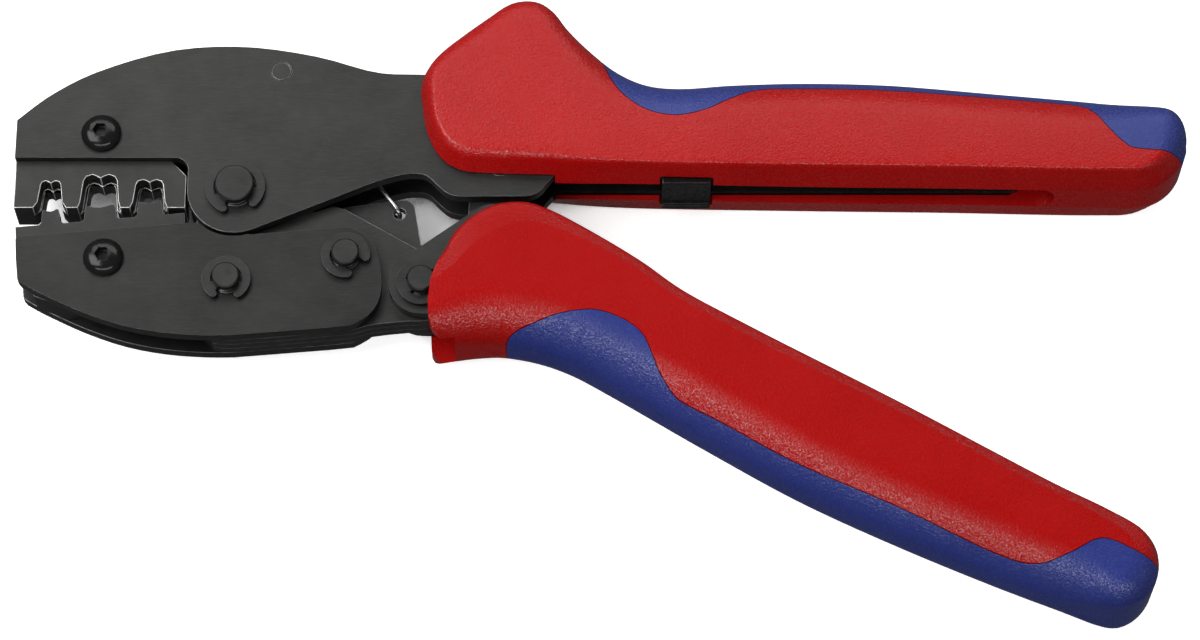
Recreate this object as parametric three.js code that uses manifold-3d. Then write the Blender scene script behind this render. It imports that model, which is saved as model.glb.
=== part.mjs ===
// Ratcheting crimping pliers for open-barrel cable terminals.
// Millimetres. The tool lies flat: its plane is XY, its thickness runs along Z, and +X points
// from the jaws to the handle ends. Everything is drawn around the main pivot at (0, 0), with the
// handles fully open, and the finished group is then moved so that the frame's origin is the
// middle of the underside of its box.
import * as THREE from 'three';
import Module from 'manifold-3d';
import { mergeVertices } from 'three/addons/utils/BufferGeometryUtils.js';

const wasm = await Module();
wasm.setup();

// ---------------------------------------------------------------- driving dimensions
const PLATE_IN = 3;               // inner face of every outer steel plate, from the mid plane
const PLATE_OUT = 5.5;            // outer face of every outer steel plate
const RUN = 0.1;                  // side clearance between plates that turn on each other
const FIT = 0.1;                  // radial clearance of a pin in its hole
const CORE = PLATE_IN - RUN;      // half thickness of whatever works between the plates
const DIE_HALF = 4;               // half thickness of the crimping dies
const GRIP_HALF = 11;             // half thickness of the handle grips
const GRIP_GAP = 0.35;            // space between a steel tang and the plastic around it
const SLOT_HALF = 3.6;            // half width of the slot along each grip's inner side

const JAW_OPEN = THREE.MathUtils.degToRad(5.2);      // the jaw's swing between open and closed
const PIVOT = [0, 0];             // main pivot: jaw on frame
const JAW_PIN_1 = [-1, -18.9];    // rivets that hold the jaw's five plates together
const JAW_PIN_2 = [21.2, -14.1];
const LEVER_PIVOT = [35.4, -19.5];
const KNEE = [49.2, -10.9];       // lever to toggle link
const ANCHOR = [49.9, 5.1];       // toggle link to frame
const SPRING_POST = [7.9, 24.7];
const SPRING_HOLE = [30.85, -3.2];
const UPPER_SCREW = [-25.8, 11.4];
const LOWER_SCREW = [-24.2, -14.3];

const PIVOT_R = 3.7;
const PIN_R = 2.6;
const LINK_PIN_R = 2.5;
const SCREW_R = 2;
const PIN_TOP = 8.4;              // height of the pin ends above the mid plane
const CLIP_T = 1;                 // thickness of a retaining clip

const HANDLE_ANGLE = THREE.MathUtils.degToRad(-28.4);   // direction of the lower handle
const PAWL_PIVOT = alongHandle(63.1, 12.5);

const STEEL = { color: 0x454545, roughness: 0.45, metalness: 0.85 };
const PIN_STEEL = { color: 0x4a4a49, roughness: 0.38, metalness: 0.9 };
const DIE_STEEL = { color: 0x3c3c3c, roughness: 0.5, metalness: 0.85 };
const SPRING_STEEL = { color: 0x9a9a9a, roughness: 0.3, metalness: 1 };
const BLACK = { color: 0x141414, roughness: 0.5, metalness: 0 };
const RED = { color: 0xb11a1e, roughness: 0.5, metalness: 0 };
const BLUE = { color: 0x30386f, roughness: 0.6, metalness: 0 };

const tool = new THREE.Group();

// ---------------------------------------------------------------- helpers
function add(name, geometry, finish) {
  const mesh = new THREE.Mesh(geometry, new THREE.MeshStandardMaterial(finish));
  mesh.name = name;
  tool.add(mesh);
}

// A point of the lower handle: t along it and n across it, towards the upper handle.
function alongHandle(t, n) {
  const cos = Math.cos(HANDLE_ANGLE);
  const sin = Math.sin(HANDLE_ANGLE);
  return [t * cos - n * sin, t * sin + n * cos];
}

function polar([x, y], radius, degrees) {
  const angle = THREE.MathUtils.degToRad(degrees);
  return [x + radius * Math.cos(angle), y + radius * Math.sin(angle)];
}

function arc(centre, radius, from, to, steps) {
  const points = [];
  for (let i = 0; i <= steps; i += 1) {
    points.push(polar(centre, radius, from + ((to - from) * i) / steps));
  }
  return points;
}

// A smooth line through a few points.
function smooth(points, steps) {
  const curve = new THREE.SplineCurve(points.map(([x, y]) => new THREE.Vector2(x, y)));
  return curve.getPoints(steps).map((p) => [p.x, p.y]);
}

// Turns a point about the main pivot, from the closed jaw to the open one.
function opened([x, y]) {
  const cos = Math.cos(JAW_OPEN);
  const sin = Math.sin(JAW_OPEN);
  return [x * cos - y * sin, x * sin + y * cos];
}

function vectors(points) {
  return points.map(([x, y]) => new THREE.Vector2(x, y));
}

// A flat piece between two heights, with round holes given as [centre, radius].
function plate(outline, z0, z1, holes = []) {
  const shape = new THREE.Shape(vectors(outline));
  for (const [centre, radius] of holes) {
    const steps = Math.max(10, Math.round(radius * 6));
    const rim = arc(centre, radius, 0, 360, steps);
    rim.pop();
    shape.holes.push(new THREE.Path(vectors(rim)));
  }
  const geometry = new THREE.ExtrudeGeometry(shape, { depth: z1 - z0, bevelEnabled: false });
  geometry.translate(0, 0, z0);
  return geometry;
}

// A piece turned about a vertical axis, from a profile of [radius, height] points.
function turned(profile, [x, y], steps) {
  const geometry = new THREE.LatheGeometry(vectors(profile), steps);
  geometry.rotateX(Math.PI / 2);
  geometry.translate(x, y, 0);
  return geometry;
}

function solid(geometry) {
  const bare = geometry.clone();
  bare.deleteAttribute('normal');
  bare.deleteAttribute('uv');
  const merged = mergeVertices(bare, 1e-4);
  return new wasm.Manifold(new wasm.Mesh({
    numProp: 3,
    vertProperties: new Float32Array(merged.attributes.position.array),
    triVerts: new Uint32Array(merged.index.array),
  }));
}

function surface(manifold) {
  const mesh = manifold.getMesh();
  const geometry = new THREE.BufferGeometry();
  geometry.setAttribute('position', new THREE.BufferAttribute(mesh.vertProperties, 3));
  geometry.setIndex(new THREE.BufferAttribute(mesh.triVerts, 1));
  geometry.computeVertexNormals();
  return geometry;
}

function joined(...geometries) {
  return surface(geometries.map(solid).reduce((whole, piece) => whole.add(piece)));
}

function cut(geometry, ...cutters) {
  return surface(cutters.map(solid).reduce((rest, cutter) => rest.subtract(cutter), solid(geometry)));
}

// Grows a closed outline by a distance. Corners are mitred.
function grown(outline, distance) {
  return outline.map((point, i) => {
    const before = outline[(i + outline.length - 1) % outline.length];
    const after = outline[(i + 1) % outline.length];
    const a = new THREE.Vector2(point[0] - before[0], point[1] - before[1]).normalize();
    const b = new THREE.Vector2(after[0] - point[0], after[1] - point[1]).normalize();
    const normal = new THREE.Vector2(a.y + b.y, -a.x - b.x).normalize();
    const reach = distance / Math.max(0.5, normal.x * a.y - normal.y * a.x);
    return [point[0] + normal.x * reach, point[1] + normal.y * reach];
  });
}

// A moulded grip: an outline whose third number is the radius that rounds its edges there.
function moulded(controls, count, rings) {
  const curve = new THREE.CatmullRomCurve3(
    controls.map(([x, y, r]) => new THREE.Vector3(x, y, r)), true, 'centripetal');
  const rim = curve.getSpacedPoints(count).slice(0, count);
  const layers = [];
  for (let k = 0; k <= rings; k += 1) {
    const angle = (Math.PI / 2) * (1 - k / rings);
    layers.push({ inset: 1 - Math.cos(angle), rise: Math.sin(angle), side: 1 });
  }
  for (let k = 0; k <= rings; k += 1) {
    const angle = (Math.PI / 2) * (k / rings);
    layers.push({ inset: 1 - Math.cos(angle), rise: Math.sin(angle), side: -1 });
  }
  const positions = [];
  for (const { inset, rise, side } of layers) {
    rim.forEach((p, i) => {
      const before = rim[(i + count - 1) % count];
      const after = rim[(i + 1) % count];
      const along = new THREE.Vector2(after.x - before.x, after.y - before.y).normalize();
      const height = side * (GRIP_HALF - p.z + p.z * rise);
      positions.push(p.x - along.y * p.z * inset, p.y + along.x * p.z * inset, height);
    });
  }
  const faces = [];
  for (let k = 0; k < layers.length - 1; k += 1) {
    for (let i = 0; i < count; i += 1) {
      const j = (i + 1) % count;
      const low = (k + 1) * count;
      const high = k * count;
      faces.push(high + i, low + i, low + j, high + i, low + j, high + j);
    }
  }
  const cap = (first) => THREE.ShapeUtils.triangulateShape(rim.map((p, i) => new THREE.Vector2(
    positions[3 * (first + i)], positions[3 * (first + i) + 1])), []);
  for (const [a, b, c] of cap(0)) {
    faces.push(a, b, c);
  }
  const last = (layers.length - 1) * count;
  for (const [a, b, c] of cap(last)) {
    faces.push(last + a, last + c, last + b);
  }
  const geometry = new THREE.BufferGeometry();
  geometry.setAttribute('position', new THREE.Float32BufferAttribute(positions, 3));
  geometry.setIndex(faces);
  return geometry;
}

// ---------------------------------------------------------------- frame (upper handle side)
// Both frame plates share one outline: head, nose round the main pivot, spring arch and tang.
const frameOutline = [
  [-42, 6.45],
  ...arc([-11.6, 3.9], 2.55, 90, 10, 4),
  ...arc(PIVOT, 9.1, 176, 292, 12),
  ...smooth([[12.2, -4.7], [17.9, -2.3], [25.9, 1.2], [31.3, 2.85], [34, 3.1], [36.2, 2.6],
    [38.2, 0.6], [40.2, -1.1], [42.4, -1.65]], 18),
  ...arc([54.6, 2.9], 4.5, 270, 335, 4),
  [60.5, 3.2],
  ...arc([147, 6.2], 3, 270, 360, 4),
  ...arc([147, 12.5], 3, 0, 90, 4),
  [72, 15.5],
  ...smooth([[66, 16.8], [60, 20.5], [50, 23.2], [35.2, 24], [26, 24.5], [14.4, 27.9], [0.6, 29.95],
    [-13.2, 29.1], [-26.7, 24.8], [-35.6, 19.8], [-42, 14.35]], 36),
];
const frameHoles = [
  [PIVOT, PIVOT_R + FIT],
  [ANCHOR, LINK_PIN_R + FIT],
  [SPRING_POST, 1.9 + FIT],
  [UPPER_SCREW, SCREW_R + FIT],
];
const UPPER_RIVETS = [[66, 9.4], [140, 9.4]];
for (const rivet of UPPER_RIVETS) {
  frameHoles.push([rivet, 2 + FIT]);
}
add('frame_front_plate', plate(frameOutline, PLATE_IN, PLATE_OUT, frameHoles), STEEL);
add('frame_rear_plate', plate(frameOutline, -PLATE_OUT, -PLATE_IN, frameHoles), STEEL);

// A rivet that spaces two plates: thin through the plates, thick between them.
function spacerRivet(name, centre, thin, thick) {
  add(name, turned([[0, -PLATE_OUT], [thin, -PLATE_OUT], [thin, -CORE], [thick, -CORE],
    [thick, CORE], [thin, CORE], [thin, PLATE_OUT], [0, PLATE_OUT]], centre, 12), PIN_STEEL);
}
UPPER_RIVETS.forEach((rivet, i) => spacerRivet(`upper_tang_rivet_${i + 1}`, rivet, 2, 3.6));

// The post that the return spring hooks round has a waist for the hook.
add('spring_post', turned([[0, -PLATE_OUT], [1.9, -PLATE_OUT], [1.9, -CORE], [3.2, -CORE],
  [3.2, -1.2], [1.9, -1.2], [1.9, 1.2], [3.2, 1.2], [3.2, CORE], [1.9, CORE], [1.9, PLATE_OUT],
  [0, PLATE_OUT]], SPRING_POST, 14), PIN_STEEL);
add('toggle_anchor_pin', turned([[0, -PLATE_OUT], [LINK_PIN_R, -PLATE_OUT],
  [LINK_PIN_R, PLATE_OUT], [0, PLATE_OUT]], ANCHOR, 20), PIN_STEEL);

// A black clip closes the window in the upper grip. It lies along the tang's lower edge.
const clipEdge = [[80.5, 0.9], [89.8, 0.9], [89.8, 2.9], [80.5, 2.9]];
const clipBed = [[79, 0], [91, 0], [91, 1.7], [79, 1.7]];
add('window_clip', cut(plate(clipEdge, -5.8, 5.8), plate(clipBed, -4.6, 4.6)), BLACK);

// ---------------------------------------------------------------- pins and retaining clips
// A pin with a flat head at the back, and a groove for a clip just above the front plate.
function headedPin(name, centre, radius, headRadius) {
  const groove = radius - 0.6;
  const seat = PLATE_OUT + CLIP_T + 0.15;
  add(name, turned([[0, -PLATE_OUT - 1.6], [headRadius - 0.4, -PLATE_OUT - 1.6],
    [headRadius, -PLATE_OUT - 1.2], [headRadius, -PLATE_OUT - 0.05], [radius, -PLATE_OUT - 0.05],
    [radius, PLATE_OUT - 0.1], [groove, PLATE_OUT], [groove, seat], [radius, seat + 0.1],
    [radius, PIN_TOP - 0.25], [radius - 0.25, PIN_TOP], [0, PIN_TOP]], centre, 22), PIN_STEEL);
}

// An E-shaped clip: three lugs reach into the groove, and the mouth faces `mouth` degrees.
function clip(name, centre, radius, outer, mouth, halfMouth) {
  const lug = radius - 0.6 + FIT;
  const inner = radius + 0.35;
  const end = mouth + halfMouth;
  const span = 360 - 2 * halfMouth;
  const middle = (inner + outer) / 2;
  const tip = (outer - inner) / 2;
  const outline = [
    ...arc(centre, outer, end, end + span, 24),
    ...arc(polar(centre, middle, end + span), tip, end + span + 45, end + span + 135, 2),
  ];
  const lugs = [[1, 0.86], [0.6, 0.4], [0.14, 0]];
  for (const [from, to] of lugs) {
    outline.push(polar(centre, inner, end + span * from));
    outline.push(...arc(centre, lug, end + span * from, end + span * to, 4));
    if (to > 0) {
      const next = to > 0.5 ? 0.6 : 0.14;
      outline.push(...arc(centre, inner, end + span * to, end + span * next, 4));
    }
  }
  outline.push(...arc(polar(centre, middle, end), tip, end - 135, end - 45, 2));
  const kept = outline.filter(([x, y], i) => {
    const [px, py] = outline[(i + outline.length - 1) % outline.length];
    return Math.hypot(x - px, y - py) > 0.02;
  });
  add(name, plate(kept, PLATE_OUT + 0.06, PLATE_OUT + 0.06 + CLIP_T), PIN_STEEL);
}

headedPin('main_pivot_pin', PIVOT, PIVOT_R, 5.2);
clip('main_pivot_clip', PIVOT, PIVOT_R, 5.75, 281, 36);
headedPin('jaw_pin_left', JAW_PIN_1, PIN_R, 4);
clip('jaw_clip_left', JAW_PIN_1, PIN_R, 4.65, 270, 38);
headedPin('jaw_pin_right', JAW_PIN_2, PIN_R, 4);
clip('jaw_clip_right', JAW_PIN_2, PIN_R, 4.65, 315, 38);
headedPin('lever_pivot_pin', LEVER_PIVOT, PIN_R, 4);
clip('lever_pivot_clip', LEVER_PIVOT, PIN_R, 4.65, 20, 38);

// ---------------------------------------------------------------- jaw (moving)
const jawOutline = [
  ...smooth([[-40.9, -10.5], [-40.6, -14.5], [-40.1, -18.6]], 4),
  ...smooth([[-39.4, -19.4], [-35.7, -21.5], [-28, -25.2], [-20.4, -27.9], [-12.9, -29.4],
    [-5.5, -30], [0, -30]], 18),
  [8.8, -29.3],
  [17.8, -28.5],
  ...smooth([[22.4, -28], [25.4, -26.2], [27.3, -23.6], [27.95, -20.6], [27.8, -17.7],
    [27.1, -13.7], [25.9, -10.8], [23.6, -8.8], [20.9, -8]], 16),
  [8.6, -9],
  [3.4, -9.5],
  ...arc(PIVOT, 9.8, -74, -131, 7),
  [-7.6, -7.1],
  opened([-11.5, -6.25]),
  opened([-40, -6.25]),
  [-40.75, -9.95],
];
const jawHoles = [
  [JAW_PIN_1, PIN_R + FIT],
  [JAW_PIN_2, PIN_R + FIT],
];
const jawPlateHoles = [...jawHoles, [LOWER_SCREW, SCREW_R + FIT]];
add('jaw_front_plate', plate(jawOutline, PLATE_IN, PLATE_OUT, jawPlateHoles), STEEL);
add('jaw_rear_plate', plate(jawOutline, -PLATE_OUT, -PLATE_IN, jawPlateHoles), STEEL);

// Three core plates run from the main pivot to the lever pivot between the outer plates.
const coreLow = [
  [-5.8, -27.4],
  [-3.4, -29.85],
  [0, -30],
  [8.8, -29.3],
  [22.6, -27.9],
  ...smooth([[25.4, -27], [29, -26.5], [33, -26.1]], 5),
];
const coreEye = arc(LEVER_PIVOT, 6.6, -90, 52, 9);
const coreRound = [
  [15.1, -3.7],
  ...arc(PIVOT, 8, -30, 200, 14),
  [-7, -11],
];
const coreOutline = [...coreLow, ...coreEye, [20.6, -3.1], [18.4, -2.5], ...coreRound];
const tabOutline = [
  ...coreLow,
  ...coreEye,
  [35, -9.5],
  [33.9, -3.1],
  ...arc([31.6, -2.5], 2.2, 10, 95, 4),
  [23, -1.4],
  [18.4, -2.2],
  ...coreRound,
];
const coreHoles = [...jawHoles, [PIVOT, PIVOT_R + FIT], [LEVER_PIVOT, PIN_R + FIT]];
const layer = (2 * CORE) / 3;
add('jaw_core_front', plate(coreOutline, CORE - layer + 0.03, CORE, coreHoles), STEEL);
add('jaw_core_middle', plate(tabOutline, -layer / 2, layer / 2,
  [...coreHoles, [SPRING_HOLE, 1.2]]), STEEL);
add('jaw_core_rear', plate(coreOutline, -CORE, -CORE + layer - 0.03, coreHoles), STEEL);

// ---------------------------------------------------------------- crimping dies
// Each nest is a W in the upper die. The front half of a nest folds the terminal's insulation
// wings, and the rear half, which is smaller, folds its wire wings.
const DIE_LEFT = -41.9;
const DIE_RIGHT = -9.5;
const DIE_MOUTH = -3.28;          // lower edge of the upper die
const FRAME_EDGE = 6.4;           // the upper die's shoulders sit just under the frame plates
const NESTS = [
  { x: -35.1, mouth: 3.1, half: 1.85, top: 2.3, cusp: 1.7, tooth: 1.55 },
  { x: -25.75, mouth: 4, half: 3.15, top: 3.6, cusp: 2.8, tooth: 2.8 },
  { x: -16.4, mouth: 3.5, half: 2.55, top: 2.55, cusp: 1.9, tooth: 2.2 },
];

function nestOutline({ x, mouth, half, top, cusp }, scale) {
  const w = half * scale;
  const rise = (top - DIE_MOUTH) * (0.85 + 0.15 * scale) + DIE_MOUTH;
  const dip = rise - (top - cusp) * scale;
  const lobe = w / 2;
  const side = (s) => [
    [x + s * mouth, DIE_MOUTH - 1],
    [x + s * mouth, DIE_MOUTH],
    [x + s * (w + 0.45), DIE_MOUTH + 1.2],
    [x + s * w, rise - lobe * 0.8],
    [x + s * (w - lobe * 0.3), rise - lobe * 0.25],
    [x + s * lobe, rise],
    [x + s * lobe * 0.45, rise - (rise - dip) * 0.4],
  ];
  return [...side(1), [x, dip], ...side(-1).reverse()];
}

const upperBlock = plate([
  [DIE_LEFT, DIE_MOUTH],
  [DIE_RIGHT, DIE_MOUTH],
  [DIE_RIGHT, 3.3],
  [-12.4, FRAME_EDGE],
  [DIE_LEFT, FRAME_EDGE],
], -DIE_HALF, DIE_HALF);
const upperTang = plate([
  [-41, FRAME_EDGE - 1],
  [-13.5, FRAME_EDGE - 1],
  [-13.5, 16.5],
  [-37.5, 16.5],
  [-41, 14],
], -CORE, CORE);
const upperScrewHole = turned([[0, -9], [2.1, -9], [2.1, 9], [0, 9]], UPPER_SCREW, 16);
add('upper_die', cut(joined(upperBlock, upperTang), upperScrewHole,
  ...NESTS.map((nest) => plate(nestOutline(nest, 1), 0.3, DIE_HALF + 1)),
  ...NESTS.map((nest) => plate(nestOutline(nest, 0.8), -DIE_HALF - 1, 0.31))), DIE_STEEL);

// The lower die is drawn closed, clear of the nests, and turned to the open jaw.
const DIE_SEAT = -6.2;
const VALLEY = DIE_MOUTH - 0.22;
function lowerDieOutline(scale, reach) {
  const outline = [[DIE_LEFT + 0.1, DIE_SEAT], [DIE_RIGHT - 0.4, DIE_SEAT]];
  outline.push([DIE_RIGHT - 0.4, VALLEY]);
  for (const { x, tooth } of [...NESTS].reverse()) {
    const w = tooth * scale;
    const top = VALLEY + reach;
    outline.push([x + w + 0.75, VALLEY], [x + w + 0.25, VALLEY + 0.5], [x + w, top]);
    outline.push([x + w * 0.75, top + 0.15], [x + w * 0.4, top - 0.15], [x, top - 0.3]);
    outline.push([x - w * 0.4, top - 0.15], [x - w * 0.75, top + 0.15]);
    outline.push([x - w, top], [x - w - 0.25, VALLEY + 0.5], [x - w - 0.75, VALLEY]);
  }
  outline.push([DIE_LEFT + 0.1, VALLEY]);
  return outline.map(opened);
}
const lowerTang = plate([
  [-40.2, DIE_SEAT + 1],
  [-13, DIE_SEAT + 1],
  [-13, -19],
  [-33, -20.5],
  [-39, -17.5],
].reverse().map(opened), -CORE, CORE);
const lowerScrewHole = turned([[0, -9], [2.1, -9], [2.1, 9], [0, 9]], LOWER_SCREW, 16);
// Its rear teeth are narrower and taller: they press the wire wings deeper than the front ones.
add('lower_die', cut(joined(plate(lowerDieOutline(1, 2.9), 0.3, DIE_HALF),
  plate(lowerDieOutline(0.78, 4.1), -DIE_HALF, 0.3), lowerTang), lowerScrewHole), DIE_STEEL);

// Button-head screws hold the dies between the plates.
function buttonScrew(name, centre) {
  const head = 3.8;
  const base = PLATE_OUT + 0.05;
  const screw = turned([[0, -PLATE_OUT], [SCREW_R, -PLATE_OUT], [SCREW_R, base], [head, base],
    [head, base + 0.5], [head - 0.5, base + 1.25], [head - 1.3, base + 1.8], [0, base + 2.1]],
  centre, 20);
  const socket = plate(arc(centre, 1.45, 0, 300, 5), base + 0.6, base + 4);
  add(name, cut(screw, socket), PIN_STEEL);
}
buttonScrew('upper_die_screw', UPPER_SCREW);
buttonScrew('lower_die_screw', LOWER_SCREW);

// ---------------------------------------------------------------- lever (lower handle)
const leverOutline = [
  ...arc(LEVER_PIVOT, 6.1, 165, 270, 9),
  [52, -26],
  alongHandle(66, 5.5),
  ...arc(alongHandle(155, 8.5), 3, -118.4, -28.4, 4),
  ...arc(alongHandle(155, 14), 3, -28.4, 61.6, 4),
  alongHandle(64, 17),
  [57.5, -8.2],
  ...smooth([[52.4, -5], [50.6, -3.7], [48.9, -3.25], [47, -3.45], [44.8, -4.8]], 8),
  [41.9, -6.95],
  [34.1, -12.7],
  ...smooth([[32.2, -13.4], [30.6, -14.6], [29.8, -16.2]], 4),
];
const LOWER_RIVETS = [alongHandle(88, 11.2), alongHandle(146, 11.2)];
const leverHoles = [
  [LEVER_PIVOT, PIN_R + FIT],
  [KNEE, LINK_PIN_R + FIT],
  [PAWL_PIVOT, 1.5 + FIT],
  ...LOWER_RIVETS.map((rivet) => [rivet, 2 + FIT]),
];
add('lever_front_plate', plate(leverOutline, PLATE_IN, PLATE_OUT, leverHoles), STEEL);
add('lever_rear_plate', plate(leverOutline, -PLATE_OUT, -PLATE_IN, leverHoles), STEEL);
LOWER_RIVETS.forEach((rivet, i) => spacerRivet(`lower_tang_rivet_${i + 1}`, rivet, 2, 3.6));
add('knee_pin', turned([[0, -PLATE_OUT], [LINK_PIN_R, -PLATE_OUT], [LINK_PIN_R, PLATE_OUT],
  [0, PLATE_OUT]], KNEE, 20), PIN_STEEL);
add('pawl_pin', turned([[0, -PLATE_OUT], [1.5, -PLATE_OUT], [1.5, PLATE_OUT], [0, PLATE_OUT]],
  PAWL_PIVOT, 14), PIN_STEEL);

// ---------------------------------------------------------------- toggle link with ratchet teeth
const HUB_R = 7.2;
const TEETH_R = 8;
const TEETH = 8;
const TOOTH_STEP = 5.4;
const TEETH_FROM = -28.5;
const LINK_EYE_R = 5.6;
const LINK_SLACK = 0.95;          // the anchor end has play, so the opened linkage never binds
const hub = arc(KNEE, HUB_R, TEETH_FROM + TEETH * TOOTH_STEP, 100, 7);
hub.push(polar(KNEE, HUB_R + 1, 108), polar(KNEE, HUB_R + 1.15, 114), polar(KNEE, HUB_R + 0.6, 122));
hub.push(...arc(KNEE, HUB_R, 128, 360 + TEETH_FROM, 16));
for (let i = 0; i < TEETH; i += 1) {
  const angle = TEETH_FROM + i * TOOTH_STEP;
  hub.push(polar(KNEE, TEETH_R, angle + TOOTH_STEP * 0.5));
  if (i < TEETH - 1) {
    hub.push(polar(KNEE, HUB_R, angle + TOOTH_STEP));
  }
}
const linkAngle = THREE.MathUtils.radToDeg(Math.atan2(ANCHOR[1] - KNEE[1], ANCHOR[0] - KNEE[0]));
const linkArm = [
  ...arc(ANCHOR, LINK_EYE_R, linkAngle - 90, linkAngle + 90, 12),
  polar(KNEE, HUB_R - 1.6, linkAngle + 90),
  polar(KNEE, HUB_R - 1.6, linkAngle - 90),
];
add('toggle_link', cut(joined(plate(hub, -CORE + 0.1, CORE - 0.1),
  plate(linkArm, -CORE + 0.1, CORE - 0.1)),
turned([[0, -9], [LINK_PIN_R + FIT, -9], [LINK_PIN_R + FIT, 9], [0, 9]], KNEE, 20),
turned([[0, -9], [LINK_PIN_R + LINK_SLACK, -9], [LINK_PIN_R + LINK_SLACK, 9], [0, 9]], ANCHOR, 20)),
DIE_STEEL);

// The pawl points at the knee. Its tail carries a light spring that centres it.
const pawlAngle = THREE.MathUtils.radToDeg(Math.atan2(PAWL_PIVOT[1] - KNEE[1], PAWL_PIVOT[0] - KNEE[0]));
const pawlOutline = [
  polar(KNEE, TEETH_R + 0.3, pawlAngle),
  polar(PAWL_PIVOT, 3.3, pawlAngle - 150),
  ...arc(PAWL_PIVOT, 3.2, pawlAngle - 110, pawlAngle - 40, 4),
  polar(PAWL_PIVOT, 5.2, pawlAngle - 12),
  polar(PAWL_PIVOT, 5.2, pawlAngle + 12),
  ...arc(PAWL_PIVOT, 3.2, pawlAngle + 40, pawlAngle + 110, 4),
  polar(PAWL_PIVOT, 3.3, pawlAngle + 150),
];
add('ratchet_pawl', plate(pawlOutline, -2.4, 2.4, [[PAWL_PIVOT, 1.5 + FIT]]), DIE_STEEL);

// ---------------------------------------------------------------- springs, as plain bars
function bar(name, from, to, radius, steps) {
  const path = new THREE.LineCurve3(new THREE.Vector3(...from, 0), new THREE.Vector3(...to, 0));
  const section = new THREE.Shape(vectors(arc([0, 0], radius, 0, 360 - 360 / steps, steps - 1)));
  add(name, new THREE.ExtrudeGeometry(section, { steps: 1, bevelEnabled: false, extrudePath: path }),
    SPRING_STEEL);
}
function between([ax, ay], [bx, by], share) {
  return [ax + (bx - ax) * share, ay + (by - ay) * share];
}
bar('return_spring', between(SPRING_POST, SPRING_HOLE, 0.16), between(SPRING_POST, SPRING_HOLE, 0.8),
  2.5, 14);
bar('pawl_spring', between(PAWL_PIVOT, LOWER_RIVETS[0], 0.26), between(PAWL_PIVOT, LOWER_RIVETS[0], 0.8),
  1.6, 10);

// ---------------------------------------------------------------- grips
// Red shells with a blue insert along the outer side. Third number: edge radius.
const upperGrip = [
  [36.2, 8.9, 3.5], [38.1, 5.7, 3.5], [40.3, 3.8, 3.8], [43, 2.6, 4.2], [47, 2.2, 4],
  [54, 2.05, 3.8], [60, 2, 3.4], [66, 1.9, 3], [74, 1.85, 3], [107, 1.2, 3], [134, 0.85, 3],
  [165, 0.3, 3], [171.2, 0.3, 3.4], [175, 1.5, 4.5], [178.1, 4.2, 5.5], [179.8, 7.3, 6],
  [180.1, 10.4, 6], [179.3, 13.2, 6], [177.5, 15.3, 6], [173.6, 16.6, 7], [161.8, 18.8, 9],
  [143.9, 20.75, 9.5], [123.6, 22.6, 9.5], [107, 23, 9.5], [93.9, 22.6, 9.5], [84, 21.9, 9.5],
  [78, 22.5, 9.5], [72.5, 24.7, 8.5], [67, 28.7, 6.5], [62.7, 32.8, 5], [60, 36.2, 4],
  [57.3, 38, 3.6], [54.5, 38.4, 3.6], [51.5, 37.8, 3.8], [47, 34.8, 4.5], [42.7, 31.4, 4.5],
  [38.2, 27.4, 4], [35.8, 24.4, 3.5], [34.7, 21.2, 3.2], [34.6, 17.5, 3.2], [34.9, 13.2, 3.2],
];
const lowerGrip = [
  [37.1, -28.9, 2.4], [38.7, -30.6, 3], [42.5, -30.9, 4.5], [46.2, -30.7, 7], [50, -30.7, 8.5],
  [53.7, -31.3, 9], [58.6, -32.7, 9.5], [63.6, -34.8, 9.5], [71, -39.1, 9.5], [88, -49.6, 9.5],
  [105.5, -59.9, 9.5], [124.1, -69, 9.5], [142.6, -77.1, 9.5], [151.8, -80.6, 9],
  [159.3, -82.8, 7.5], [163.4, -83.3, 6.5], [166.8, -81.9, 6.5], [169.2, -79, 6.5],
  [170.1, -75.6, 6], [169.4, -72.3, 5.5], [167, -69.2, 4.5], [160.8, -65.4, 3.2],
  [151.8, -60.7, 3], [124.4, -44.9, 3], [96.3, -29.3, 3], [84, -22.1, 3], [76.6, -16.4, 3],
  [66.6, -9.8, 3], [59.6, -5.7, 3.2], [55.5, -4.1, 3.2], [51.4, -3.95, 3.2], [48, -4.8, 3],
  [44.5, -7, 2.6], [41.4, -10.3, 2.4], [39, -15.3, 2.2], [37.4, -20.3, 2.2], [36.9, -25, 2.2],
];
const upperSeam = [
  ...smooth([[68.8, 27.5], [71, 21], [74, 16.8], [78.3, 13.9], [83.5, 13], [88.9, 14.3],
    [93.2, 16.6], [98.6, 19], [106.7, 19.3], [123.2, 19], [143.5, 17.5], [158.2, 16],
    [162.1, 14], [164.6, 10.5], [167.4, 7.3], [170.5, 5.9], [183, 5.5]], 48),
  [190, 5.5],
  [190, 45],
  [66, 45],
];
const lowerSeam = [
  ...smooth([[49.6, -36], [50.4, -32.2], [52.4, -30.2], [57.1, -28.7], [60.6, -27.7],
    [65, -27.1], [68.8, -27.3], [73.2, -29.1], [76.5, -31.9], [78.4, -36], [79.8, -39.3],
    [82.6, -43.3], [86, -45.6], [91, -48.4], [105.2, -56.7], [123.6, -65.4], [139.4, -73.3],
    [147.6, -76], [153.7, -74.5], [159.5, -72], [166.1, -74.7], [174, -79]], 60),
  [180, -100],
  [46, -100],
].reverse();
const spine = (points) => plate(points, -SLOT_HALF, SLOT_HALF);
const HOLLOW = PLATE_OUT + GRIP_GAP;
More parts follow.
